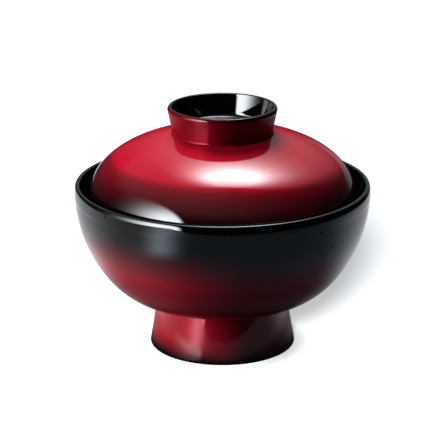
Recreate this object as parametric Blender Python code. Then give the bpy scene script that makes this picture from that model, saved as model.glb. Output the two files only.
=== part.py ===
"""A lidded soup bowl: a turned bowl on a flared foot, and a domed lid with a cup-shaped knob."""

import math

import bmesh
import bpy

# Driving dimensions, in metres and degrees. Heights start at the face that the foot stands on.
CLEARANCE = 0.0003  # between pieces that are bonded or that rest on each other

FOOT_RADIUS = 0.0301  # outside, at the base
FOOT_NECK_RADIUS = 0.0268  # outside, where it meets the bowl
FOOT_HEIGHT = 0.0201  # from the base to the underside of the bowl
FOOT_WALL = 0.0032
FOOT_EDGE_ROUND = 0.0007

RIM_RADIUS = 0.06075  # outermost point of the lip
BOWL_HEIGHT = 0.06915  # top of the lip
LIP_THICKNESS = 0.0022
LIP_FACE = 0.0029  # height of the lip's rounded outer face
BELLY_TOP_INSET = 0.0001  # the wall under the lip, inside the outermost point
BELLY_TOP_LEAN = 0.4  # the wall's inward lean under the lip, in degrees
BELLY_LOW_REACH = 0.0188  # how far the underside stays level outside the foot
BELLY_HIGH_REACH = 0.0227  # how far the wall stays upright under the lip
FLOOR_THICKNESS = 0.0033
REGISTER_DEPTH = 0.0025  # spigot under the bowl that centres the foot

LEDGE_DEPTH = 0.0102  # from the top of the lip down to the step for the lid
LEDGE_BEARING = 0.0019  # width of the step under the lid's rim
LEDGE_ROUND = 0.0005
LID_INSET = 0.00595  # the lid's rim inside the outermost point of the lip
LID_SIDE_GAP = 0.0008  # play round the lid's rim at the step

LID_HEIGHT = 0.0325  # from the lid's rim to its crown
SKIRT_HEIGHT = 0.00735  # from the lid's rim to the shoulder
SKIRT_LEAN = 0.8  # outward lean of the skirt, in degrees
SHOULDER_LEAN = 11.0  # lean of the dome where it meets the skirt, in degrees
CROWN_REACH = 0.0238  # how far the crown stays level
SHOULDER_REACH = 0.0184  # how far the dome keeps its lean above the shoulder
LID_WALL = 0.0024
LID_EDGE_ROUND = 0.0006

KNOB_RADIUS = 0.0205  # outside, at the lid
KNOB_LIP_RADIUS = 0.0224  # outside, at the lip
KNOB_HEIGHT = 0.01144  # from its seat on the lid to its top
KNOB_ROOT_WALL = 0.0026  # thickness at the lid
KNOB_LIP_WALL = 0.0018  # thickness at the lip
KNOB_LIP_FACE = 0.0014  # height of the lip's rounded outer face
KNOB_LIP_ROUND = 0.0009  # width of that rounding
KNOB_INNER_ROUND = 0.0004
KNOB_ROOT_LEAN = 9.0  # outward lean of the wall at the lid, in degrees
KNOB_ROOT_REACH = 0.0035  # how far the wall keeps that lean
KNOB_FLARE_LEAN = 15.0  # lean under the lip, in degrees
KNOB_FLARE_REACH = 0.0035
BOSS_HEIGHT = 0.0019  # raised disc on the crown that centres the knob

SEGMENTS = 56  # facets round each turned piece
SHELL_STEPS = 14  # points along the bowl's and the lid's curves
KNOB_STEPS = 6
ARC_STEPS = 4
SHARP_ANGLE = math.radians(35)

LACQUER_RED = (0.30, 0.012, 0.018, 1.0)
LACQUER_BLACK = (0.006, 0.006, 0.007, 1.0)
LACQUER_ROUGHNESS = 0.12


# Outlines

def bezier(start, leave, arrive, end, t):
    """The point at t, and the direction there, of a cubic curve in the (radius, height) plane."""
    s = 1 - t
    weights = (s**3, 3 * s * s * t, 3 * s * t * t, t**3)
    slopes = (-3 * s * s, 3 * s * s - 6 * s * t, 6 * s * t - 3 * t * t, 3 * t * t)
    corners = (start, leave, arrive, end)
    point = tuple(sum(w * c[i] for w, c in zip(weights, corners)) for i in (0, 1))
    slope = tuple(sum(w * c[i] for w, c in zip(slopes, corners)) for i in (0, 1))
    return point, slope


def fractions(steps):
    return [step / steps for step in range(steps + 1)]


def arc(centre, radius, first, last, rise=None):
    """Points round a centre, with angles in degrees from the outward radius towards up."""
    turns = [math.radians(first + (last - first) * f) for f in fractions(ARC_STEPS)]
    rise = rise or radius
    return [(centre[0] + radius * math.cos(a), centre[1] + rise * math.sin(a)) for a in turns]


def solve(wanted, measure):
    """The t from 0 to 1 at which a rising measure reaches the wanted value."""
    low, high = 0.0, 1.0
    for _ in range(50):
        middle = (low + high) / 2
        if measure(middle) < wanted:
            low = middle
        else:
            high = middle
    return (low + high) / 2


def offset(point, slope, distance):
    """The point moved to the left of its direction."""
    length = math.hypot(*slope)
    return (point[0] - slope[1] / length * distance, point[1] + slope[0] / length * distance)


# Sizes that more than one piece takes part in

LEDGE_Z = BOWL_HEIGHT - LEDGE_DEPTH
LID_RIM_RADIUS = RIM_RADIUS - LID_INSET
LEDGE_INNER_RADIUS = LID_RIM_RADIUS - LEDGE_BEARING
LEDGE_OUTER_RADIUS = LID_RIM_RADIUS + LID_SIDE_GAP
LID_SEAT_Z = LEDGE_Z + CLEARANCE
FOOT_BORE_RADIUS = FOOT_NECK_RADIUS - FOOT_WALL
KNOB_BORE_RADIUS = KNOB_RADIUS - KNOB_ROOT_WALL
SHOULDER_RADIUS = LID_RIM_RADIUS - SKIRT_HEIGHT * math.tan(math.radians(SKIRT_LEAN))


def belly(t):
    """The bowl's outside, from the foot at 0 to the root of the lip at 1."""
    lean = math.radians(BELLY_TOP_LEAN)
    neck = (FOOT_NECK_RADIUS, FOOT_HEIGHT)
    root = (RIM_RADIUS - BELLY_TOP_INSET, BOWL_HEIGHT - LIP_FACE)
    leave = (neck[0] + BELLY_LOW_REACH, neck[1])
    arrive = (root[0] + BELLY_HIGH_REACH * math.sin(lean), root[1] - BELLY_HIGH_REACH * math.cos(lean))
    return bezier(neck, leave, arrive, root, t)


def dome(t):
    """The lid's outside above its rim, from the crown at 0 to the shoulder at 1."""
    lean = math.radians(SHOULDER_LEAN)
    crown = (0.0, LID_HEIGHT)
    shoulder = (SHOULDER_RADIUS, SKIRT_HEIGHT)
    leave = (CROWN_REACH, LID_HEIGHT)
    arrive = (
        shoulder[0] - SHOULDER_REACH * math.sin(lean),
        shoulder[1] + SHOULDER_REACH * math.cos(lean),
    )
    return bezier(crown, leave, arrive, shoulder, t)


# The knob's seat is a flat turned on the crown, a clearance wider than the knob.
SEAT_RADIUS = KNOB_RADIUS + CLEARANCE
SEAT_T = solve(SEAT_RADIUS, lambda t: dome(t)[0][0])
SEAT_Z = dome(SEAT_T)[0][1]


# Turned pieces

def lacquer(name, colour):
    material = bpy.data.materials.new(name)
    material.use_nodes = True
    shader = material.node_tree.nodes["Principled BSDF"]
    shader.inputs["Base Color"].default_value = colour
    shader.inputs["Roughness"].default_value = LACQUER_ROUGHNESS
    shader.inputs["Metallic"].default_value = 0.0
    material.diffuse_color = colour
    return material


def turned(name, outline, colour, closed):
    """A solid turned round Z from an outline of radii and heights, open where it ends on the axis."""
    shape = bmesh.new()
    corners = [shape.verts.new((radius, 0.0, height)) for radius, height in outline]
    ends = corners[1:] + corners[:1] if closed else corners[1:]
    edges = [shape.edges.new(pair) for pair in zip(corners, ends)]
    bmesh.ops.spin(
        shape,
        geom=corners + edges,
        cent=(0, 0, 0),
        axis=(0, 0, 1),
        angle=math.tau,
        steps=SEGMENTS,
    )
    bmesh.ops.remove_doubles(shape, verts=shape.verts, dist=1e-6)
    bmesh.ops.recalc_face_normals(shape, faces=shape.faces)
    mesh = bpy.data.meshes.new(name)
    shape.to_mesh(mesh)
    shape.free()
    mesh.shade_smooth()
    mesh.set_sharp_from_angle(angle=SHARP_ANGLE)
    mesh.materials.append(lacquer(name, colour))
    piece = bpy.data.objects.new(name, mesh)
    bpy.context.collection.objects.link(piece)
    return piece


def bowl_shell():
    floor_z = FOOT_HEIGHT + FLOOR_THICKNESS
    ledge_t = solve(LEDGE_Z, lambda t: belly(t)[0][1])
    ledge_wall = belly(ledge_t)[0][0] - LEDGE_INNER_RADIUS
    inside = []
    for f in fractions(SHELL_STEPS):
        point, slope = belly(f * ledge_t)
        climb = ((point[1] - FOOT_HEIGHT) / (LEDGE_Z - FOOT_HEIGHT)) ** 2
        inside.append(offset(point, slope, FLOOR_THICKNESS + (ledge_wall - FLOOR_THICKNESS) * climb))
    inside = [p for p in inside if p[1] < LEDGE_Z - LEDGE_ROUND]

    lip_round = LIP_THICKNESS / 2
    lip_middle = RIM_RADIUS - lip_round
    register_radius = FOOT_BORE_RADIUS - CLEARANCE
    register_z = FOOT_HEIGHT - REGISTER_DEPTH

    outline = [(0.0, floor_z)] + inside
    outline += arc((LEDGE_INNER_RADIUS + LEDGE_ROUND, LEDGE_Z - LEDGE_ROUND), LEDGE_ROUND, 180, 90)
    outline += [(LEDGE_OUTER_RADIUS, LEDGE_Z)]
    outline += arc((lip_middle, BOWL_HEIGHT - lip_round), lip_round, 180, 90)
    outline += arc((lip_middle, BOWL_HEIGHT - LIP_FACE), lip_round, 90, 0, LIP_FACE)[1:]
    outline += [belly(1 - f)[0] for f in fractions(SHELL_STEPS)][1:]
    outline += [(register_radius, FOOT_HEIGHT), (register_radius, register_z), (0.0, register_z)]
    return turned("bowl_shell", outline, LACQUER_BLACK, closed=False)


def foot_ring():
    top_z = FOOT_HEIGHT - CLEARANCE
    lean = (FOOT_RADIUS - FOOT_NECK_RADIUS) / FOOT_HEIGHT
    base_bore = FOOT_RADIUS - FOOT_WALL
    outer_centre = (FOOT_RADIUS - FOOT_EDGE_ROUND, FOOT_EDGE_ROUND)
    inner_centre = (base_bore + FOOT_EDGE_ROUND, FOOT_EDGE_ROUND)
    outline = arc(inner_centre, FOOT_EDGE_ROUND, 270, 180)
    outline += [(FOOT_BORE_RADIUS, top_z), (FOOT_NECK_RADIUS + lean * CLEARANCE, top_z)]
    outline += arc(outer_centre, FOOT_EDGE_ROUND, 0, -90)
    return turned("foot_ring", outline, LACQUER_RED, closed=True)


def lid_shell():
    inner_centre = (LID_RIM_RADIUS - LID_WALL + LID_EDGE_ROUND, LID_EDGE_ROUND)
    outer_centre = (LID_RIM_RADIUS - LID_EDGE_ROUND, LID_EDGE_ROUND)
    boss_radius = KNOB_BORE_RADIUS - CLEARANCE
    boss_z = SEAT_Z + BOSS_HEIGHT

    outline = [offset(*dome(f), -LID_WALL) for f in fractions(SHELL_STEPS)]
    outline += arc(inner_centre, LID_EDGE_ROUND, 180, 270)
    outline += arc(outer_centre, LID_EDGE_ROUND, -90, 0)
    outline += [dome(1 - f * (1 - SEAT_T))[0] for f in fractions(SHELL_STEPS)]
    outline += [(boss_radius, SEAT_Z), (boss_radius, boss_z), (0.0, boss_z)]
    return turned("lid_shell", outline, LACQUER_RED, closed=False)


def lid_knob():
    root_lean = math.radians(KNOB_ROOT_LEAN)
    flare_lean = math.radians(KNOB_FLARE_LEAN)
    base_z = SEAT_Z + CLEARANCE
    top_z = SEAT_Z + KNOB_HEIGHT
    lip_z = top_z - KNOB_LIP_FACE
    foot = (KNOB_RADIUS, base_z)
    lip = (KNOB_LIP_RADIUS, lip_z)
    leave = (
        foot[0] + KNOB_ROOT_REACH * math.sin(root_lean),
        base_z + KNOB_ROOT_REACH * math.cos(root_lean),
    )
    arrive = (
        lip[0] - KNOB_FLARE_REACH * math.sin(flare_lean),
        lip_z - KNOB_FLARE_REACH * math.cos(flare_lean),
    )
    wall = [bezier(foot, leave, arrive, lip, f)[0] for f in fractions(KNOB_STEPS)]

    outer_centre = (KNOB_LIP_RADIUS - KNOB_LIP_ROUND, lip_z)
    inner_edge = KNOB_LIP_RADIUS - KNOB_LIP_WALL
    inner_centre = (inner_edge + KNOB_INNER_ROUND, top_z - KNOB_INNER_ROUND)
    outline = [(KNOB_BORE_RADIUS, base_z)]
    outline += arc(inner_centre, KNOB_INNER_ROUND, 180, 90)
    outline += arc(outer_centre, KNOB_LIP_ROUND, 90, 0, KNOB_LIP_FACE)
    outline += list(reversed(wall[:-1]))
    return turned("lid_knob", outline, LACQUER_RED, closed=True)


# The assembly: the bowl stands at the origin, and the lid hangs on an empty at its seat.

def build():
    for leftover in list(bpy.data.objects):
        bpy.data.objects.remove(leftover)
    bowl_shell()
    foot_ring()
    lid_seat = bpy.data.objects.new("lid_seat", None)
    lid_seat.location = (0.0, 0.0, LID_SEAT_Z)
    bpy.context.collection.objects.link(lid_seat)
    for piece in (lid_shell(), lid_knob()):
        piece.parent = lid_seat


build()
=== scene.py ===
import math

import bmesh
import bpy
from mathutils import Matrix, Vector


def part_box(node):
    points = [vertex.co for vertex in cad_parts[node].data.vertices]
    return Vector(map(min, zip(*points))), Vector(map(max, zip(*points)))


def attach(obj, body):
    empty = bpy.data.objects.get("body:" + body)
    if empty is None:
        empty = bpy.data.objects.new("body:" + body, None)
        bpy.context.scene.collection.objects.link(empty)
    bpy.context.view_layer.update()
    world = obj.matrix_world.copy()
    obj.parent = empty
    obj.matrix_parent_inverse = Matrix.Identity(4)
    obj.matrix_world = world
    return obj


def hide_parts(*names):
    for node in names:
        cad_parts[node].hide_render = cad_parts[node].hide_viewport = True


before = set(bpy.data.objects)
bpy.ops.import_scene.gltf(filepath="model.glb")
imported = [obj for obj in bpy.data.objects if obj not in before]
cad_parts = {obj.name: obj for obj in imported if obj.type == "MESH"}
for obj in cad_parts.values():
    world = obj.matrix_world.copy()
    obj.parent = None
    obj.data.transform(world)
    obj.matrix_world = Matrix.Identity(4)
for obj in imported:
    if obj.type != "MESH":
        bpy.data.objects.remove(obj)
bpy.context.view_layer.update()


# Node wiring

class Wire:
    # One socket of a node tree. Sums and products of wires add Math nodes.
    def __init__(self, tree, node=None, socket=None):
        self.tree = tree
        self.node = node
        self.socket = socket

    def add(self, kind, settings=None, sockets=None, out=0):
        node = self.tree.nodes.new(kind)
        for name, value in (settings or {}).items():
            setattr(node, name, value)
        for key, value in (sockets or {}).items():
            if isinstance(value, Wire):
                self.tree.links.new(value.socket, node.inputs[key])
            else:
                node.inputs[key].default_value = value
        return Wire(self.tree, node, node.outputs[out] if node.outputs else None)

    def other(self, name):  # another output of the same node
        return Wire(self.tree, self.node, self.node.outputs[name])

    def into(self, node, name):
        self.tree.links.new(self.socket, node.inputs[name])

    def maths(self, operation, *others):
        terms = dict(enumerate((self, *others)))
        return self.add("ShaderNodeMath", {"operation": operation}, terms)

    def swapped(self, operation, first):
        return self.add("ShaderNodeMath", {"operation": operation}, {0: first, 1: self})

    def __add__(self, other):
        return self.maths("ADD", other)

    def __sub__(self, other):
        return self.maths("SUBTRACT", other)

    def __mul__(self, other):
        return self.maths("MULTIPLY", other)

    def __truediv__(self, other):
        return self.maths("DIVIDE", other)

    def __neg__(self):
        return self.maths("MULTIPLY", -1.0)

    def __radd__(self, first):
        return self.maths("ADD", first)

    def __rmul__(self, first):
        return self.maths("MULTIPLY", first)

    def __rsub__(self, first):
        return self.swapped("SUBTRACT", first)

    def __rtruediv__(self, first):
        return self.swapped("DIVIDE", first)

    def ramp(self, start, end, style="LINEAR"):  # 0 at start, 1 at end
        sockets = {"Value": self, "From Min": start, "From Max": end}
        return self.add("ShaderNodeMapRange", {"interpolation_type": style}, sockets)

    def ease(self, start, end):
        return self.ramp(start, end, "SMOOTHSTEP")

    def blend(self, first, second):  # two colours or colour wires, mixed by this wire
        sockets = {0: self, 6: first, 7: second}
        return self.add("ShaderNodeMix", {"data_type": "RGBA"}, sockets, out=2)

    def light(self, colour):  # a colour or colour wire, as bright as this wire
        return self.add("ShaderNodeVectorMath", {"operation": "SCALE"}, {0: colour, "Scale": self})


# Outlines, as points of (radius, height, outside), where outside is 1 on faces that are sprayed red

def bezier(start, leave, arrive, end, t):
    s = 1 - t
    weights = (s**3, 3 * s * s * t, 3 * s * t * t, t**3)
    slopes = (-3 * s * s, 3 * s * s - 6 * s * t, 6 * s * t - 3 * t * t, 3 * t * t)
    corners = (start, leave, arrive, end)
    point = tuple(sum(w * c[i] for w, c in zip(weights, corners)) for i in (0, 1))
    slope = tuple(sum(w * c[i] for w, c in zip(slopes, corners)) for i in (0, 1))
    return point, slope


def fractions(steps):
    return [step / steps for step in range(steps + 1)]


def arc(centre, radius, first, last, steps=8):  # degrees, from outwards towards up
    turns = [math.radians(first + (last - first) * f) for f in fractions(steps)]
    return [(centre[0] + radius * math.cos(a), centre[1] + radius * math.sin(a)) for a in turns]


def brow(centre, radius, rise, bulge, steps):  # a quarter from the top out to the side
    turns = [math.pi / 2 * (1 - f) for f in fractions(steps)]
    power = 2 / bulge
    sides = [(abs(math.cos(a)) ** power, math.sin(a) ** power) for a in turns]
    return [(centre[0] + radius * across, centre[1] + rise * up) for across, up in sides]


def stretch(start, end, steps):
    return [tuple(a + (b - a) * f for a, b in zip(start, end)) for f in fractions(steps)]


def leaning(length, lean):  # a step up that leans outwards
    return (length * math.sin(lean), length * math.cos(lean))


def offset(point, slope, distance):  # to the left of its direction
    length = math.hypot(*slope)
    return (point[0] - slope[1] / length * distance, point[1] + slope[0] / length * distance)


def solve(wanted, measure):  # the t at which a rising measure reaches the wanted value
    low, high = 0.0, 1.0
    for _ in range(50):
        middle = (low + high) / 2
        if measure(middle) < wanted:
            low = middle
        else:
            high = middle
    return (low + high) / 2


def side(points, outside):
    return [(radius, height, outside) for radius, height in points]


# Turning: one tree spins any outline round Z

def turningTree():
    tree = bpy.data.node_groups.new("turnedOutline", "GeometryNodeTree")
    tree.interface.new_socket("Outline", in_out="INPUT", socket_type="NodeSocketGeometry")
    tree.interface.new_socket("Sides", in_out="INPUT", socket_type="NodeSocketInt")
    tree.interface.new_socket("Weld", in_out="INPUT", socket_type="NodeSocketFloat")
    tree.interface.new_socket("Finish", in_out="INPUT", socket_type="NodeSocketMaterial")
    tree.interface.new_socket("Turned", in_out="OUTPUT", socket_type="NodeSocketGeometry")
    outline = Wire(tree).add("NodeGroupInput")
    sides = outline.other("Sides")
    count = outline.add("GeometryNodeAttributeDomainSize", None, {0: outline})

    # every column of the grid is the outline again, one step further round
    grid = outline.add("GeometryNodeMeshGrid", None, {"Vertices X": sides + 1, "Vertices Y": count})
    index = outline.add("GeometryNodeInputIndex")
    row = index.maths("MODULO", count)
    turn = (index - row) / count * math.tau / sides
    here = outline.add("GeometryNodeInputPosition")
    spot = outline.add(
        "GeometryNodeSampleIndex",
        {"data_type": "FLOAT_VECTOR"},
        {"Geometry": outline, "Value": here, "Index": row},
    )
    radius = outline.add("ShaderNodeSeparateXYZ", None, {0: spot})
    place = outline.add(
        "ShaderNodeCombineXYZ",
        None,
        {"X": radius * turn.maths("COSINE"), "Y": radius * turn.maths("SINE"), "Z": radius.other("Z")},
    )
    flag = outline.add("GeometryNodeInputNamedAttribute", None, {"Name": "outside"})
    outside = outline.add(
        "GeometryNodeSampleIndex", None, {"Geometry": outline, "Value": flag, "Index": row}
    )
    spun = outline.add("GeometryNodeSetPosition", None, {"Geometry": grid, "Position": place})
    marked = outline.add(
        "GeometryNodeStoreNamedAttribute",
        {"domain": "POINT"},
        {"Geometry": spun, "Name": "outside", "Value": outside},
    )
    weld = {"Geometry": marked, "Distance": outline.other("Weld")}
    closed = outline.add("GeometryNodeMergeByDistance", None, weld)
    smooth = outline.add("GeometryNodeSetShadeSmooth", None, {"Geometry": closed})
    real = outline.add("GeometryNodeRealizeInstances", None, {"Geometry": smooth})
    finished = outline.add(
        "GeometryNodeSetMaterial", None, {"Geometry": real, "Material": outline.other("Finish")}
    )
    outline.add("NodeGroupOutput", None, {0: finished})
    return tree


turning = {"tree": turningTree(), "sides": 256, "weld": 1e-6}


def turned(name, outline, finish):
    shape = bpy.data.meshes.new(name)
    shape.from_pydata([(radius, 0.0, height) for radius, height, _ in outline], [], [])
    flags = shape.attributes.new("outside", "FLOAT", "POINT")
    flags.data.foreach_set("value", [outside for _, _, outside in outline])
    piece = bpy.data.objects.new(name, shape)
    bpy.context.scene.collection.objects.link(piece)
    lathe = piece.modifiers.new("turning", "NODES")
    lathe.node_group = turning["tree"]
    sizes = {"Sides": turning["sides"], "Weld": turning["weld"], "Finish": finish}
    for socket in turning["tree"].interface.items_tree:
        if socket.name in sizes:
            lathe[socket.identifier] = sizes[socket.name]

    graph = bpy.context.evaluated_depsgraph_get()
    ready = piece.evaluated_get(graph)
    mesh = bpy.data.meshes.new_from_object(ready, preserve_all_data_layers=True, depsgraph=graph)
    piece.modifiers.clear()
    piece.data = mesh
    faces = bmesh.new()
    faces.from_mesh(mesh)
    bmesh.ops.recalc_face_normals(faces, faces=faces.faces)
    faces.to_mesh(mesh)
    faces.free()
    mesh.name = name
    print(f"turned {name}: {len(outline)} points, {len(mesh.polygons)} faces")
    return piece


# Lacquer: black, with red sprayed over it where the outside fades

lacquer = {
    "black": (0.0035, 0.0035, 0.0042, 1.0),
    "red": (0.62, 0.008, 0.032, 1.0),
    "coatRoughness": 0.035,
    "grainScale": 2600.0,  # spray droplets, per metre
    "grainReach": 0.0022,  # how far droplets stray over the edge of the red
    "cloudScale": 32.0,
    "cloudReach": 0.0024,  # how far the edge of the red wanders round the piece
    "lean": 0.03,  # painted shade: the red's fade tilts across the piece by this slope, so one side is redder and the other darker, as the light from the left falls
    "peelScale": 420.0,  # orange peel
    "peelDepth": 0.0000030,
    "nibScale": 95.0,  # dust caught in the lacquer
    "nibRadius": 0.075,
    "nibCore": 0.3,  # its flat middle, as a share of the radius
    "nibShare": 0.8,
    "nibDepth": 0.000035,
    "nibRoughness": 0.2,
    "ringScale": (40.0, 40.0, 3200.0),  # rubbing marks, fine in height and long round the piece
    "ringRoughness": 0.05,
    "sprayEdge": (0.4, 0.6),  # where the sprayed side of an outline begins
}


def lacquered(name, size):
    material = bpy.data.materials.new(name)
    material.use_nodes = True
    shader = material.node_tree.nodes["Principled BSDF"]
    shader.inputs["Coat Roughness"].default_value = lacquer["coatRoughness"]
    shader.inputs["Specular IOR Level"].default_value = 0.0
    net = Wire(material.node_tree)
    place = net.add("ShaderNodeTexCoord", out="Object")
    across = net.add("ShaderNodeSeparateXYZ", None, {0: place}, out="X")
    height = across.other("Z")
    outside = net.add("ShaderNodeAttribute", {"attribute_name": "outside"}, out="Fac")

    # spray: the edge of the red wanders slowly and breaks up into fine droplets
    cloud = net.add("ShaderNodeTexNoise", None, {"Vector": place, "Scale": lacquer["cloudScale"]})
    grain = net.add("ShaderNodeTexNoise", None, {"Vector": place, "Scale": lacquer["grainScale"]})
    stray = (cloud - 0.5) * lacquer["cloudReach"] + (grain - 0.5) * lacquer["grainReach"]
    # the tilt across the piece paints shade: one side comes out redder, the other darker
    spot = height + across * lacquer["lean"] + stray
    thin = spot.ramp(size["blackFrom"], size["kneeAt"]) * size["knee"]
    full = spot.ramp(size["kneeAt"], size["redFrom"]) * (1 - size["knee"])
    share = (thin + full) * outside.ease(*lacquer["sprayEdge"])
    red = share * size["depth"]

    # dust: a few cells hold a small round nib, which breaks the gloss
    cells = {"Vector": place, "Scale": lacquer["nibScale"]}
    cell = net.add("ShaderNodeTexVoronoi", None, cells, out="Distance")
    lot = net.add("ShaderNodeSeparateColor", None, {0: cell.other("Color")})
    chosen = lot.maths("LESS_THAN", lacquer["nibShare"])
    nib = cell.ease(lacquer["nibRadius"], lacquer["nibRadius"] * lacquer["nibCore"]) * chosen

    # rubbing: fine rings that the polishing cloth leaves round the piece
    rings = net.add("ShaderNodeMapping", None, {"Vector": place, "Scale": lacquer["ringScale"]})
    rub = net.add("ShaderNodeTexNoise", None, {"Vector": rings, "Scale": 1.0})
    peel = net.add("ShaderNodeTexNoise", None, {"Vector": place, "Scale": lacquer["peelScale"]})

    (red * red).blend(lacquer["black"], lacquer["red"]).into(shader, "Base Color")
    (red * size["flake"]).into(shader, "Metallic")
    ((1 - share * (1 - size["coat"])) * (1 - nib)).into(shader, "Coat Weight")
    rough = size["roughness"] + (rub - 0.5) * lacquer["ringRoughness"] + nib * lacquer["nibRoughness"]
    rough.into(shader, "Roughness")
    bumps = peel * lacquer["peelDepth"] + nib * lacquer["nibDepth"]
    relief = net.add("ShaderNodeBump", None, {"Height": bumps, "Strength": 1.0, "Distance": 1.0})
    relief.into(shader, "Normal")
    return material


# Bowl

bowlLow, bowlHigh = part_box("bowl_shell")
bowlShape = {
    "lipThickness": 0.0022,
    "lipRound": 0.0013,  # width of the lip's rounded outer face
    "lipFace": 0.0052,  # height of that face
    "lipBulge": 3.5,  # 2 is an ellipse, more is squarer
    "lipGap": 0.0002,  # left free between the lip's lowest point and the wall's highest
    "wallTop": 0.0029,  # from the top of the lip down to where the wall's curve ends
    "lipInner": 0.0006,  # rounding of the lip's inner edge
    "topInset": 0.0001,  # the wall under the lip, inside the outermost point
    "topLean": math.radians(0.4),
    "lowReach": 0.0188,  # how far the underside stays level outside the foot
    "highReach": 0.0227,  # how far the wall stays upright under the lip
    "floorThickness": 0.0033,
    "registerDepth": 0.0025,
    "registerRadius": 0.0233,
    "registerRound": 0.0004,
    "ledgeDepth": 0.0102,  # from the lip down to the step for the lid
    "ledgeInner": 0.0529,
    "ledgeOuter": 0.0556,
    "ledgeRound": 0.0005,
    "neckRadius": 0.0268,  # where the foot meets it
    "insideSteps": 44,
    "wallSteps": 72,
    "lipSteps": 28,
    "innerSteps": 10,
    "flatSteps": 6,
    "coat": 1.0,  # gloss of the red; the black is always glossy
    "roughness": 0.36,  # under the coat
    "depth": 1.0,  # of the red
    "flake": 0.14,  # share of the red that mirrors, as a bright flake in it does
    "blackFrom": 0.0595,  # heights between which the black fades to red
    "kneeAt": 0.0507,
    "knee": 0.5,  # share of the red at that height
    "redFrom": 0.0420,
}


def bowlOutside(t):
    size = bowlShape
    neck = (size["neckRadius"], bowlLow.z + size["registerDepth"])
    root = (bowlHigh.x - size["topInset"], bowlHigh.z - size["wallTop"])
    leave = (neck[0] + size["lowReach"], neck[1])
    lean = leaning(size["highReach"], size["topLean"])
    arrive = (root[0] + lean[0], root[1] - lean[1])
    return bezier(neck, leave, arrive, root, t)


def makeBowl():
    size = bowlShape
    underZ = bowlLow.z + size["registerDepth"]
    ledgeZ = bowlHigh.z - size["ledgeDepth"]
    ledgeT = solve(ledgeZ, lambda t: bowlOutside(t)[0][1])
    ledgeWall = bowlOutside(ledgeT)[0][0] - size["ledgeInner"]
    inside = []
    for f in fractions(size["insideSteps"]):
        point, slope = bowlOutside(f * ledgeT)
        climb = ((point[1] - underZ) / (ledgeZ - underZ)) ** 2
        thickness = size["floorThickness"] + (ledgeWall - size["floorThickness"]) * climb
        inside.append(offset(point, slope, thickness))
    inside = [p for p in inside if p[1] < ledgeZ - size["ledgeRound"]]

    inner = size["lipInner"]
    innerX = bowlHigh.x - size["lipThickness"] + inner
    outerX = bowlHigh.x - size["lipRound"]
    face = size["lipFace"]
    lipZ = bowlHigh.z - face
    edge = size["ledgeRound"]
    edgeCentre = (size["ledgeInner"] + edge, ledgeZ - edge)
    register = size["registerRadius"]
    corner = size["registerRound"]
    wall = [bowlOutside(1 - f)[0] for f in fractions(size["wallSteps"])]
    flat = size["flatSteps"]
    middle = stretch((0.0, underZ + size["floorThickness"]), inside[0], flat)

    outline = side(middle[:-1] + inside, 0)
    outline += side(arc(edgeCentre, edge, 180, 90), 0)
    outline += side([(size["ledgeOuter"] - edge, ledgeZ)], 0)
    outline += side(arc((size["ledgeOuter"] - edge, ledgeZ + edge), edge, -90, 0), 0)
    outline += side(arc((innerX, bowlHigh.z - inner), inner, 180, 90, size["innerSteps"]), 0)
    outline += side(brow((outerX, lipZ), size["lipRound"], face, size["lipBulge"], size["lipSteps"]), 1)
    outline += side([p for p in wall if p[1] < lipZ - size["lipGap"]], 1)
    outline += side([(register, underZ), (register, bowlLow.z + corner)], 0)
    outline += side(arc((register - corner, bowlLow.z + corner), corner, 0, -90), 0)
    outline += side(stretch((register - corner, bowlLow.z), (0.0, bowlLow.z), flat)[1:], 0)
    finish = lacquered("bowlLacquer", size)
    bowl = turned("soupBowl", outline, finish)
    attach(bowl, "bowl")
    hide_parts("bowl_shell")


# Foot

_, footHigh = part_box("foot_ring")
footShape = {
    "wall": 0.0032,
    "neckRadius": 0.0268,
    "edgeRound": 0.0007,
    "cove": 0.0009,  # hollow fillet against the bowl
    "sink": 0.00015,  # how far the fillet reaches into the bowl's underside
    "boreSteps": 12,
    "coveSteps": 10,
    "wallSteps": 24,
    "coat": 1.0,
    "roughness": 0.22,
    "depth": 0.97,
    "flake": 0.08,
    "blackFrom": 0.0,
    "kneeAt": 0.0034,
    "knee": 0.70,
    "redFrom": 0.0075,
}


def makeFoot():
    size = footShape
    topZ = bowlLow.z + bowlShape["registerDepth"] + size["sink"]
    lean = (footHigh.x - size["neckRadius"]) / topZ
    edge = size["edgeRound"]
    cove = size["cove"]
    bore = footHigh.x - size["wall"]
    wallTop = (size["neckRadius"] + lean * cove, topZ - cove)
    outline = side(arc((bore + edge, edge), edge, 270, 180), 0)
    boreTop = (size["neckRadius"] - size["wall"], topZ)
    outline += side(stretch((bore, edge), boreTop, size["boreSteps"])[1:], 0)
    outline += side([(wallTop[0] + cove, topZ)], 0)
    outline += side(arc((wallTop[0] + cove, topZ - cove), cove, 90, 180, size["coveSteps"])[1:], 1)
    outline += side(stretch(wallTop, (footHigh.x, edge), size["wallSteps"])[1:], 1)
    outline += side(arc((footHigh.x - edge, edge), edge, 0, -90)[1:], 1)
    outline += side([(bore + edge, 0.0)], 0)
    finish = lacquered("footLacquer", size)
    foot = turned("footRing", outline, finish)
    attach(foot, "bowl")
    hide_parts("foot_ring")


# Lid

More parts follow.
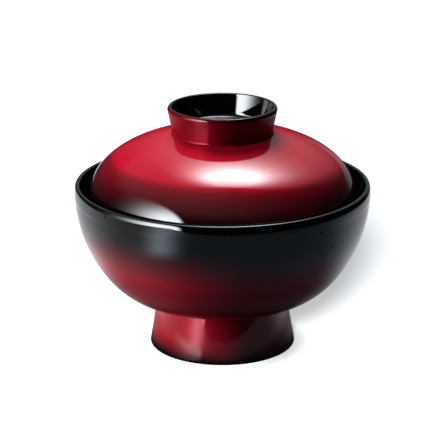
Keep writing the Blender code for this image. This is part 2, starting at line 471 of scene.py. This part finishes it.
lidLow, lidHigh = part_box("lid_shell")
knobLow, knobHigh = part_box("lid_knob")
lidShape = {
    "height": 0.0325,  # from the rim to the crown
    "skirtHeight": 0.00735,
    "skirtLean": math.radians(0.8),
    "shoulderLean": math.radians(11),  # where the dome meets the skirt
    "crownReach": 0.0238,
    "shoulderReach": 0.0184,
    "wall": 0.0024,
    "edgeRound": 0.0006,
    "seatRadius": 0.0208,  # flat for the knob
    "bossRadius": 0.0176,
    "bossRound": 0.0003,
    "insideSteps": 56,
    "domeSteps": 72,
    "flatSteps": 6,
    "coat": 1.0,
    "roughness": 0.36,
    "depth": 1.0,
    "flake": 0.03,
    # on the lid the fade is partly its real red-to-black fade and partly painted light: its shares follow
    # the shading, and the steep rise from kneeAt to redFrom is a painted reflection of the lower edge of
    # the overhead softbox
    "blackFrom": 0.0632,
    "kneeAt": 0.0780,
    "knee": 0.64,
    "redFrom": 0.0801,
}


def lidOutside(t):
    size = lidShape
    skirt = size["skirtHeight"]
    shoulder = (lidHigh.x - skirt * math.tan(size["skirtLean"]), lidLow.z + skirt)
    crown = (0.0, lidLow.z + size["height"])
    leave = (size["crownReach"], crown[1])
    lean = leaning(size["shoulderReach"], size["shoulderLean"])
    arrive = (shoulder[0] - lean[0], shoulder[1] + lean[1])
    return bezier(crown, leave, arrive, shoulder, t)


def makeLid():
    size = lidShape
    edge = size["edgeRound"]
    innerEdge = (lidHigh.x - size["wall"] + edge, lidLow.z + edge)
    outerEdge = (lidHigh.x - edge, lidLow.z + edge)
    seatT = solve(size["seatRadius"], lambda t: lidOutside(t)[0][0])
    seatZ = lidOutside(seatT)[0][1]
    boss = size["bossRadius"]
    corner = size["bossRound"]

    outline = side([offset(*lidOutside(f), -size["wall"]) for f in fractions(size["insideSteps"])], 0)
    outline += side(arc(innerEdge, edge, 180, 270), 0)
    outline += side(arc(outerEdge, edge, -90, 0), 0)
    outline += side([lidOutside(1 - f * (1 - seatT))[0] for f in fractions(size["domeSteps"])], 1)
    outline += side([(boss, seatZ), (boss, lidHigh.z - corner)], 0)
    outline += side(arc((boss - corner, lidHigh.z - corner), corner, 0, 90), 0)
    outline += side(stretch((boss - corner, lidHigh.z), (0.0, lidHigh.z), size["flatSteps"])[1:], 0)
    finish = lacquered("lidLacquer", size)
    lid = turned("domedLid", outline, finish)
    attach(lid, "lid")
    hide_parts("lid_shell")
    lid.visible_diffuse = False  # keeps the dome's red light off the knob
    return lid


# Knob

knobShape = {
    "radius": 0.0205,
    "rootWall": 0.0026,  # thickness at the lid
    "lipWall": 0.0018,  # thickness at the lip
    "lipFace": 0.0014,  # height of the lip's rounded outer face
    "lipRound": 0.0009,  # width of that rounding
    "lipBulge": 2.0,
    "innerRound": 0.0004,
    "rootLean": math.radians(9),  # outward lean of the wall at the lid
    "rootReach": 0.0035,
    "flareLean": math.radians(15),  # lean under the lip
    "flareReach": 0.0035,
    "cupRound": 0.0018,  # hollow fillet at the bottom of the cup
    "cove": 0.0011,  # hollow fillet against the lid
    "sink": 0.00053,  # how far the fillet reaches down into the lid
    "bossGap": 0.0001,  # clear of the lid's boss at its side
    "floorGap": 0.00002,  # and on its top
    "wallSteps": 28,
    "cupSteps": 10,
    "lipSteps": 16,
    "coveSteps": 12,
    "coat": 0.05,
    "roughness": 0.22,
    "depth": 0.75,
    "flake": 0.22,
    "blackFrom": 0.1030,
    "kneeAt": 0.1011,
    "knee": 0.5,
    "redFrom": 0.0992,
}


def makeKnob():
    size = knobShape
    cove = size["cove"]
    baseZ = knobLow.z - size["sink"]
    lip = (knobHigh.x, knobHigh.z - size["lipFace"])
    root = (size["radius"], knobLow.z)
    lean = size["rootLean"]
    rise = leaning(size["rootReach"], lean)
    leave = (root[0] + rise[0], root[1] + rise[1])
    flare = leaning(size["flareReach"], size["flareLean"])
    arrive = (lip[0] - flare[0], lip[1] - flare[1])
    wall = [bezier(root, leave, arrive, lip, f)[0] for f in fractions(size["wallSteps"])]
    coveTop = baseZ + cove * (1 + math.sin(lean))
    coveX = size["radius"] + (coveTop - knobLow.z) * math.tan(lean) + cove * math.cos(lean)

    # the cup's wall runs into its floor by a fillet that lies on the lid's boss
    inner = size["innerRound"]
    cupTop = (lip[0] - size["lipWall"], knobHigh.z - inner)
    outer = size["lipRound"]
    bore = size["radius"] - size["rootWall"]
    slope = math.atan2(cupTop[0] - bore, cupTop[1] - knobLow.z)
    floorZ = lidHigh.z + size["floorGap"]
    bend = size["cupRound"]
    bendX = bore + (floorZ + bend - knobLow.z) * math.tan(slope) - bend / math.cos(slope)
    bossEdge = lidShape["bossRadius"] + size["bossGap"]
    cup = size["cupSteps"]

    outline = side(arc((bendX, floorZ + bend), bend, -90, -math.degrees(slope), cup), 0)
    outline += side(stretch(outline[-1][:2], cupTop, cup)[1:-1], 0)
    outline += side(arc((cupTop[0] + inner, cupTop[1]), inner, 180, 90), 0)
    brim = (lip[0] - outer, lip[1])
    outline += side(brow(brim, outer, size["lipFace"], size["lipBulge"], size["lipSteps"]), 1)
    outline += side([p for p in reversed(wall[:-1]) if p[1] > coveTop], 1)
    coveFrom = 180 - math.degrees(lean)
    outline += side(arc((coveX, baseZ + cove), cove, coveFrom, 270, size["coveSteps"]), 1)
    outline += side([(bossEdge, baseZ), (bossEdge, floorZ), (bendX, floorZ)], 0)
    finish = lacquered("knobLacquer", size)
    knob = turned("lidKnob", outline, finish)
    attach(knob, "lid")
    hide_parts("lid_knob")
    return knob


# Studio: floor, lamps for the shading, and a world that holds what the gloss mirrors

def direction(azimuth, elevation):  # degrees; azimuth 0 is the camera's side, and grows to its right
    a = math.radians(azimuth)
    e = math.radians(elevation)
    return Vector((math.sin(a) * math.cos(e), -math.cos(a) * math.cos(e), math.sin(e)))


camera = {
    "target": Vector((0.0, 0.0, 0.05)),
    "elevation": 17.985,
    "distance": 0.845,
    "focalPixels": 2044.0,
    "imageWidth": 427,
    "imageHeight": 424,
    "targetPixel": (222.4, 226.1),
    "sensor": 36.0,
    "clipStart": 0.01,
}


def hang(name, data, azimuth, elevation, distance):  # a camera or lamp that faces the target
    away = direction(azimuth, elevation)
    holder = bpy.data.objects.new(name, data)
    holder.location = camera["target"] + away * distance
    holder.rotation_euler = (-away).to_track_quat("-Z", "Y").to_euler()
    bpy.context.scene.collection.objects.link(holder)
    return holder


def makeCamera():
    size = camera
    data = bpy.data.cameras.new("camera")
    data.sensor_width = size["sensor"]
    data.lens = size["focalPixels"] * size["sensor"] / size["imageWidth"]
    data.shift_x = -(size["targetPixel"][0] - size["imageWidth"] / 2) / size["imageWidth"]
    data.shift_y = (size["targetPixel"][1] - size["imageHeight"] / 2) / size["imageWidth"]
    data.clip_start = size["clipStart"]
    bpy.context.scene.camera = hang("camera", data, 0, size["elevation"], size["distance"])


# A pair is where something begins and where it is full: a place, a distance from the axis or an azimuth
floor = {
    "reach": 0.5,
    "frontEdge": -0.29,
    "leftCorner": -0.62,  # the table reaches further forward at the left
    "leftTurn": -0.12,  # and its front edge turns here
    "colour": (0.80, 0.80, 0.81, 1.0),
    "shade": (0.94, 1.0, 1.02),  # tint of the shadow
    "lift": 0.53,  # light of its own, to bring the lit floor up to white
    "liftLeft": 0.42,  # painted light: more of it at the left, where the left softbox would light the floor
    "liftAcross": (-0.015, -0.045),
    "contact": 0.36,  # painted shadow: less of it close to the foot, on the side away from that light
    "contactNear": (0.0375, 0.0295),
    "contactAcross": (0.010, 0.025),
    "warm": (0.96, 1.0, 1.06, 1.0),  # tints of what the object sees, at the left and behind
    "cold": (0.80, 1.0, 1.25, 1.0),  # and elsewhere
    "front": 0.17,  # painted light: how bright the table glows for the object, by side
    "left": 0.46,
    "leftBack": 1.02,
    "right": 0.18,
    "rightBack": 0.75,
    "leftRound": (18, 60),
    "rightRound": (50, 85),
    "backRound": (70, 115),
    "leftAcross": (0.03, -0.03),
    "rightNear": (0.34, 0.25),  # at the right the table falls off sooner
    "underNear": (0.024, 0.050),  # the painted shade round the foot lifts in two steps
    "underFar": (0.055, 0.105),
    "underShare": 0.25,  # of the first step
    "glow": 2.5,  # painted light on the table in front of the left softbox
    "glowAzimuth": -41.0,
    "glowWidth": 9.8,
    "glowFar": (0.105, 0.150),
    "gloss": 0.14,  # how much of the softbox the table mirrors beside the foot
    "glossRoughness": 0.15,
    "glossRound": (-22, -34),
    "glossBack": (-120, -90),
    "glossNear": (0.150, 0.110),
    "matt": 0.25,  # how much of the table lights matt surfaces
    "mattBack": 0.8,  # and how much more of it at the left and behind
}


def makeFloor():
    size = floor
    mesh = bpy.data.meshes.new("floor")
    reach, front = size["reach"], size["frontEdge"]
    corners = [(-reach, size["leftCorner"]), (size["leftTurn"], front)]
    corners += [(reach, front), (reach, reach), (-reach, reach)]
    mesh.from_pydata([(x, y, 0.0) for x, y in corners], [], [tuple(range(len(corners)))])
    plane = bpy.data.objects.new("floor", mesh)
    bpy.context.scene.collection.objects.link(plane)
    material = bpy.data.materials.new("floorPaper")
    material.use_nodes = True
    tree = material.node_tree
    tree.nodes.remove(tree.nodes["Principled BSDF"])
    net = Wire(tree)
    place = net.add("ShaderNodeTexCoord", out="Object")
    radius = net.add("ShaderNodeVectorMath", {"operation": "LENGTH"}, {0: place}, out="Value")
    path = net.add("ShaderNodeLightPath")
    seen = path.other("Is Camera Ray")
    glossy = path.other("Is Glossy Ray")

    # to the camera: white paper, with the object's shadow, painted light at the left and a painted shadow
    # by the foot
    paper = net.add("ShaderNodeBsdfDiffuse", None, {"Color": size["colour"]})
    x = net.add("ShaderNodeSeparateXYZ", None, {0: place}, out="X")
    # painted contact shadow by the foot
    contact = radius.ease(*size["contactNear"]) * x.ease(*size["contactAcross"]) * size["contact"]
    # the part of the level that grows towards the left is painted light
    level = seen * (size["lift"] + x.ease(*size["liftAcross"]) * size["liftLeft"] - contact)
    lift = net.add("ShaderNodeEmission", None, {"Color": level.light(size["shade"])})
    lit = net.add("ShaderNodeAddShader", None, {0: paper, 1: lift})

    # to the object: the table glows with painted light, brighter at the left and behind, with painted
    # shade round the foot
    azimuth = x.maths("ARCTAN2", -x.other("Y")).maths("DEGREES")
    around = azimuth.maths("ABSOLUTE")
    behind = around.ease(*size["backRound"])
    aside = around.ease(*size["leftRound"])
    leftSide = aside * (size["left"] - size["front"])
    leftSide = leftSide + behind * (size["leftBack"] - size["left"])
    rightSide = around.ease(*size["rightRound"]) * (size["right"] - size["front"])
    rightSide = rightSide + behind * (size["rightBack"] - size["right"])
    isLeft = x.ease(*size["leftAcross"])
    near = radius.ease(*size["rightNear"])
    table = isLeft * (size["front"] + leftSide) + (1 - isLeft) * (size["front"] + rightSide) * near
    off = (azimuth - size["glowAzimuth"]) / size["glowWidth"]
    glow = (-(off * off)).maths("EXPONENT") * radius.ease(*size["glowFar"]) * size["glow"]
    # painted shade: the table's glow is darker round the foot
    under = radius.ease(*size["underNear"]) * size["underShare"]
    under = under + radius.ease(*size["underFar"]) * (1 - size["underShare"])
    tint = (isLeft * aside).maths("MAXIMUM", behind).blend(size["cold"], size["warm"])
    bounce = size["matt"] + isLeft * behind * size["mattBack"]
    shine = glossy * (table + glow) + (1 - glossy) * table * bounce
    mirrored = net.add("ShaderNodeEmission", None, {"Color": (under * shine).light(tint)})
    polish = net.add("ShaderNodeBsdfGlossy", None, {"Roughness": size["glossRoughness"]})
    beside = azimuth.ease(*size["glossRound"]) * azimuth.ease(*size["glossBack"])
    polished = glossy * under * beside * radius.ease(*size["glossNear"]) * size["gloss"]
    mirrored = net.add("ShaderNodeMixShader", None, {0: polished, 1: mirrored, 2: polish})
    mixed = net.add("ShaderNodeMixShader", None, {0: seen, 1: mirrored, 2: lit})
    mixed.into(tree.nodes["Material Output"], "Surface")
    mesh.materials.append(material)
    return plane


lamps = {
    "left": {"azimuth": -79, "elevation": 14, "distance": 1.1, "size": 0.5, "power": 8.6},
    "side": {"azimuth": -100, "elevation": 40, "distance": 1.1, "size": 0.5, "power": 1.4},
    "front": {"azimuth": -25, "elevation": 10, "distance": 1.1, "size": 0.5, "power": 4.4},
    "top": {"azimuth": -160, "elevation": 56, "distance": 1.1, "size": 0.7, "power": 15.4},
}
shadowLamp = {"azimuth": -5, "elevation": 26, "distance": 1.1, "spread": 9, "strength": 4.5}  # floor only


def linkTo(name, state, *pieces):  # a collection that keeps a lamp to some pieces, or off them
    link = bpy.data.collections.new(name)
    for number, piece in enumerate(pieces):
        link.objects.link(piece)
        link.collection_objects[number].light_linking.link_state = state
    return link


def makeLamps(plane, lid, knob):
    lidOnly = linkTo("lidOnly", "INCLUDE", lid)
    reach = {
        "left": linkTo("offLid", "EXCLUDE", plane, lid),
        "side": lidOnly,
        "front": lidOnly,
        "top": linkTo("offFloor", "EXCLUDE", plane),
    }
    for name, lamp in lamps.items():
        data = bpy.data.lights.new(name, "AREA")
        data.shape = "DISK"
        data.size = lamp["size"]
        data.energy = lamp["power"]
        holder = hang(name, data, lamp["azimuth"], lamp["elevation"], lamp["distance"])
        holder.visible_glossy = False
        holder.visible_camera = False
        holder.light_linking.receiver_collection = reach[name]
        if name == "side":
            holder.light_linking.blocker_collection = linkTo("pastKnob", "EXCLUDE", knob)

    lamp = shadowLamp
    sun = bpy.data.lights.new("shadow", "SUN")
    sun.energy = lamp["strength"]
    sun.angle = math.radians(lamp["spread"])
    holder = hang("shadow", sun, lamp["azimuth"], lamp["elevation"], lamp["distance"])
    holder.light_linking.receiver_collection = linkTo("floorOnly", "INCLUDE", plane)


# Pairs as in the floor, here of azimuths or elevations
studio = {
    "fill": 0.008,  # even light on matt surfaces
    "front": 0.012,  # the dark room on the camera's side
    "ceiling": 0.2,  # the room overhead, towards the left
    "ceilingUp": (20, 40),
    "ceilingRound": (100, -60),
    "backdrop": 0.012,
    "backdropUp": (30, 4),
    "backdropRound": (100, 150),
    "skirting": 0.24,  # the foot of the wall behind, at the right
    "skirtingUp": (7, 3),
    "skirtingRound": (136, 156),
    "skirtingEnd": (174, 164),
    "topCentre": (173.6, 47.5),  # overhead softbox, azimuth and elevation
    "topRim": (48, 24),  # degrees from that centre
    "topFront": (-0.03, 0.04),  # its straight edges, as parts of a direction of length 1
    "topLeft": (-0.45, -0.02),
    "topLevel": 0.30,
    "hotCentre": (161, 76.8),  # its lamp
    "hotLevel": 125.0,
    "hotFall": 6.8,
    "hotMost": 26.0,
    "leftCentre": (-74, -2),  # softbox at the left of the camera
    "leftRim": (44.5, 39.0),
    "leftLow": (-16, -9),
    "leftHigh": (48, 12),
    "leftLevel": 24.0,
    "leftHot": -47,  # azimuth of its lamp
    "leftFall": 24.0,
    "tint": (0.93, 1.0, 1.05, 1.0),  # of what the gloss mirrors
    "white": (1.0, 1.0, 1.0, 1.0),  # what the camera sees behind the table
}


def makeWorld():
    size = studio
    world = bpy.data.worlds.new("studio")
    world.use_nodes = True
    world.cycles.sampling_method = "NONE"
    bpy.context.scene.world = world
    net = Wire(world.node_tree)
    way = net.add("ShaderNodeTexCoord", out="Generated")
    x = net.add("ShaderNodeSeparateXYZ", None, {0: way}, out="X")
    azimuth = x.maths("ARCTAN2", -x.other("Y")).maths("DEGREES")
    elevation = x.other("Z").maths("ARCSINE").maths("DEGREES")

    def angleFrom(centre):
        sockets = {0: way, 1: direction(*centre)}
        aim = net.add("ShaderNodeVectorMath", {"operation": "DOT_PRODUCT"}, sockets, out="Value")
        return aim.maths("ARCCOSINE").maths("DEGREES")

    top = angleFrom(size["topCentre"]).ease(*size["topRim"])
    hot = (angleFrom(size["hotCentre"]) / -size["hotFall"]).maths("EXPONENT") * size["hotLevel"]
    edges = x.other("Y").ease(*size["topFront"]) * x.ease(*size["topLeft"])
    topLight = top * edges * (size["topLevel"] + hot.maths("MINIMUM", size["hotMost"]))

    left = angleFrom(size["leftCentre"]).ease(*size["leftRim"])
    aside = (azimuth - size["leftHot"]).maths("MINIMUM", 0.0) / size["leftFall"]
    glow = (-(aside * aside)).maths("EXPONENT")
    upright = elevation.ease(*size["leftLow"]) * elevation.ease(*size["leftHigh"])
    leftLight = left * glow * upright * size["leftLevel"]

    behind = azimuth.maths("ABSOLUTE").ease(*size["backdropRound"])
    backdrop = behind * elevation.ease(*size["backdropUp"]) * size["backdrop"]
    ceiling = elevation.ease(*size["ceilingUp"]) * azimuth.ease(*size["ceilingRound"]) * size["ceiling"]
    corner = azimuth.ease(*size["skirtingRound"]) * azimuth.ease(*size["skirtingEnd"])
    skirting = corner * elevation.ease(*size["skirtingUp"]) * size["skirting"]
    room = size["front"] + backdrop + ceiling + skirting
    mirrored = room + topLight + leftLight

    path = net.add("ShaderNodeLightPath")
    clear = path.other("Is Camera Ray").maths("MAXIMUM", path.other("Is Transmission Ray"))
    glossy = path.other("Is Glossy Ray")
    strength = clear + glossy * mirrored + (1 - clear) * (1 - glossy) * size["fill"]
    background = world.node_tree.nodes["Background"]
    strength.into(background, "Strength")
    clear.blend(size["tint"], size["white"]).into(background, "Color")


makeBowl()
makeFoot()
domedLid = makeLid()
lidKnob = makeKnob()
makeCamera()
makeLamps(makeFloor(), domedLid, lidKnob)
makeWorld()
bpy.context.scene.view_settings.view_transform = "Standard"
print("studio ready")
